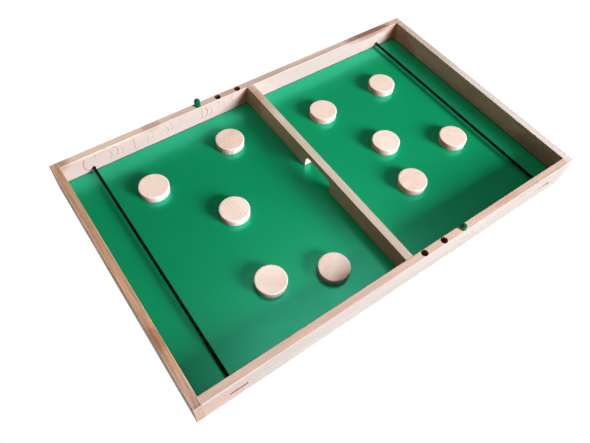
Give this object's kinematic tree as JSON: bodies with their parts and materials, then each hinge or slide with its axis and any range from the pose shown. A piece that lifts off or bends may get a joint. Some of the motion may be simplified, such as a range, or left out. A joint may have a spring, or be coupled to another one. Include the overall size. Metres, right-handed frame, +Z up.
{
  "type": "sling puck board",
  "caption": "Two-player table game: a beech tray with a gated divider, an elastic sling near each end that shoots wooden pucks, and score pegs in the long rails.",
  "frame": {"origin": "middle of the board's footprint, on the table", "axes": "+X along the long rails to the right, +Y to the back rail, +Z up"},
  "size_m": [0.6, 0.372, 0.0575],
  "materials": {
    "beech": "steamed beech, satin lacquer",
    "panel": "brown fibreboard, bare",
    "laminate": "green laminate, glossy",
    "dowel_beech": "bare beech dowel",
    "elastic": "round black elastic, woven cover",
    "tag": "pale moulded tag",
    "green_wood": "green stained dowel, satin",
    "puck_beech": "pale beech, satin lacquer"
  },
  "bodies": {
    "board": {"front_rail": "beech", "back_rail": "beech", "left_rail": "beech", "right_rail": "beech", "divider": "beech", "base_panel": "panel", "playfield": "laminate", "joint_dowels": "dowel_beech", "elastic_tags": "tag"},
    "left_sling": {"left_elastic": "elastic"},
    "right_sling": {"right_elastic": "elastic"},
    "front_peg": {"front_score_peg": "green_wood"},
    "back_peg": {"back_score_peg": "green_wood"},
    "left_puck_1_body": {"left_puck_1": "puck_beech"},
    "left_puck_2_body": {"left_puck_2": "puck_beech"},
    "left_puck_3_body": {"left_puck_3": "puck_beech"},
    "left_puck_4_body": {"left_puck_4": "puck_beech"},
    "left_puck_5_body": {"left_puck_5": "puck_beech"},
    "right_puck_1_body": {"right_puck_1": "puck_beech"},
    "right_puck_2_body": {"right_puck_2": "puck_beech"},
    "right_puck_3_body": {"right_puck_3": "puck_beech"},
    "right_puck_4_body": {"right_puck_4": "puck_beech"},
    "right_puck_5_body": {"right_puck_5": "puck_beech"}
  },
  "joints": [
    {"name": "left_sling_draw", "type": "slide", "parent": "board", "child": "left_sling", "axis": [1, 0, 0], "range_m": [-0.03, 0.01], "stiffness_N_per_m": 70, "deforming": ["left_elastic"]},
    {"name": "right_sling_draw", "type": "slide", "parent": "board", "child": "right_sling", "axis": [1, 0, 0], "range_m": [-0.01, 0.03], "stiffness_N_per_m": 70, "deforming": ["right_elastic"]},
    {"name": "front_peg_lift", "type": "slide", "parent": "board", "child": "front_peg", "axis": [0, 0, 1], "range_m": [0, 0.03]},
    {"name": "back_peg_lift", "type": "slide", "parent": "board", "child": "back_peg", "axis": [0, 0, 1], "range_m": [-0.0045, 0.03]},
    {"name": "left_puck_1_slide", "type": "slide", "parent": "board", "child": "left_puck_1_body", "axis": [1, 0, 0], "range_m": [-0.027, 0.049]},
    {"name": "left_puck_2_slide", "type": "slide", "parent": "board", "child": "left_puck_2_body", "axis": [1, 0, 0], "range_m": [-0.036, 0.045]},
    {"name": "left_puck_3_slide", "type": "slide", "parent": "board", "child": "left_puck_3_body", "axis": [1, 0, 0], "range_m": [-0.096, 0.03]},
    {"name": "left_puck_4_slide", "type": "slide", "parent": "board", "child": "left_puck_4_body", "axis": [1, 0, 0], "range_m": [-0.006, 0.047]},
    {"name": "left_puck_5_slide", "type": "slide", "parent": "board", "child": "left_puck_5_body", "axis": [1, 0, 0], "range_m": [-0.078, 0.034]},
    {"name": "right_puck_1_slide", "type": "slide", "parent": "board", "child": "right_puck_1_body", "axis": [1, 0, 0], "range_m": [-0.042, 0.036]},
    {"name": "right_puck_2_slide", "type": "slide", "parent": "board", "child": "right_puck_2_body", "axis": [1, 0, 0], "range_m": [-0.049, 0.029]},
    {"name": "right_puck_3_slide", "type": "slide", "parent": "board", "child": "right_puck_3_body", "axis": [1, 0, 0], "range_m": [-0.057, 0.02]},
    {"name": "right_puck_4_slide", "type": "slide", "parent": "board", "child": "right_puck_4_body", "axis": [1, 0, 0], "range_m": [-0.173, 0.11]},
    {"name": "right_puck_5_slide", "type": "slide", "parent": "board", "child": "right_puck_5_body", "axis": [1, 0, 0], "range_m": [-0.073, 0.015]}
  ]
}
